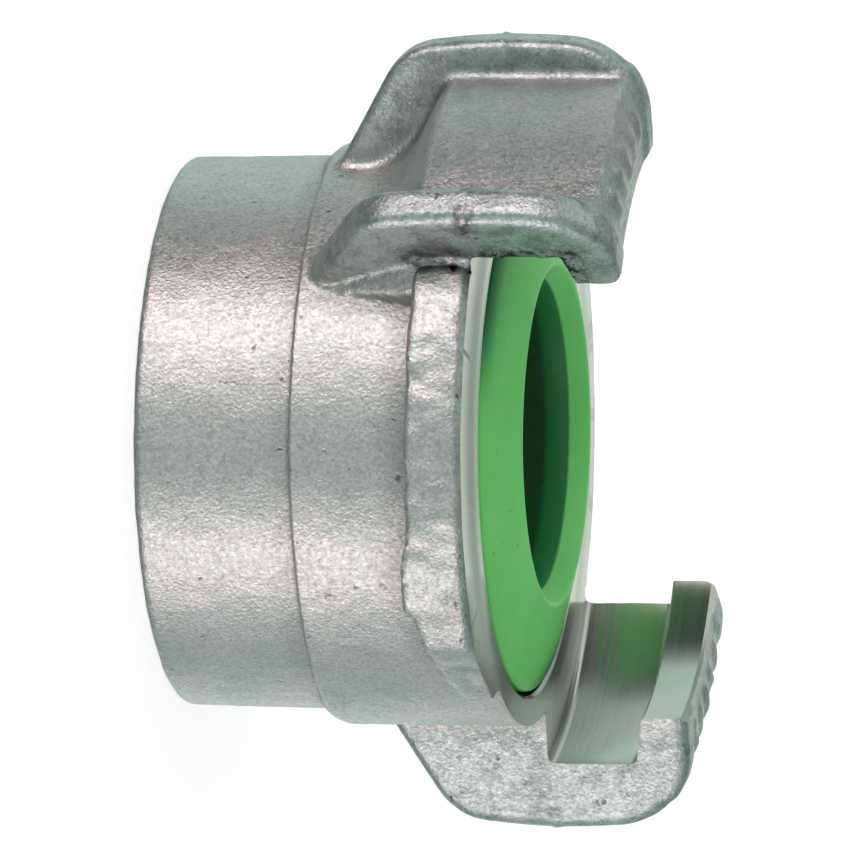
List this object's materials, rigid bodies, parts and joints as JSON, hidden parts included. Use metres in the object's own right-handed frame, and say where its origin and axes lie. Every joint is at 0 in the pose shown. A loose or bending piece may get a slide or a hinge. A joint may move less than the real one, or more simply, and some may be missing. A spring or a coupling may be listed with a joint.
{
  "type": "quick connect hose coupling",
  "caption": "Claw-type quick coupling half: cast body with hooked claws, ramped flange segments, female pipe thread and a rubber face seal.",
  "frame": {"origin": "centre of the rear face, at the mouth of the threaded bore", "axes": "+Z along the coupling's axis from the thread to the seal, claws centred on +X and -X"},
  "size_m": [0.0536, 0.0458, 0.0323],
  "materials": {
    "steel": "blasted casting with turned faces",
    "rubber": "moulded, smooth and slightly shiny"
  },
  "bodies": {
    "root": {"coupling_body": "steel", "seal_ring": "rubber"}
  },
  "joints": []
}
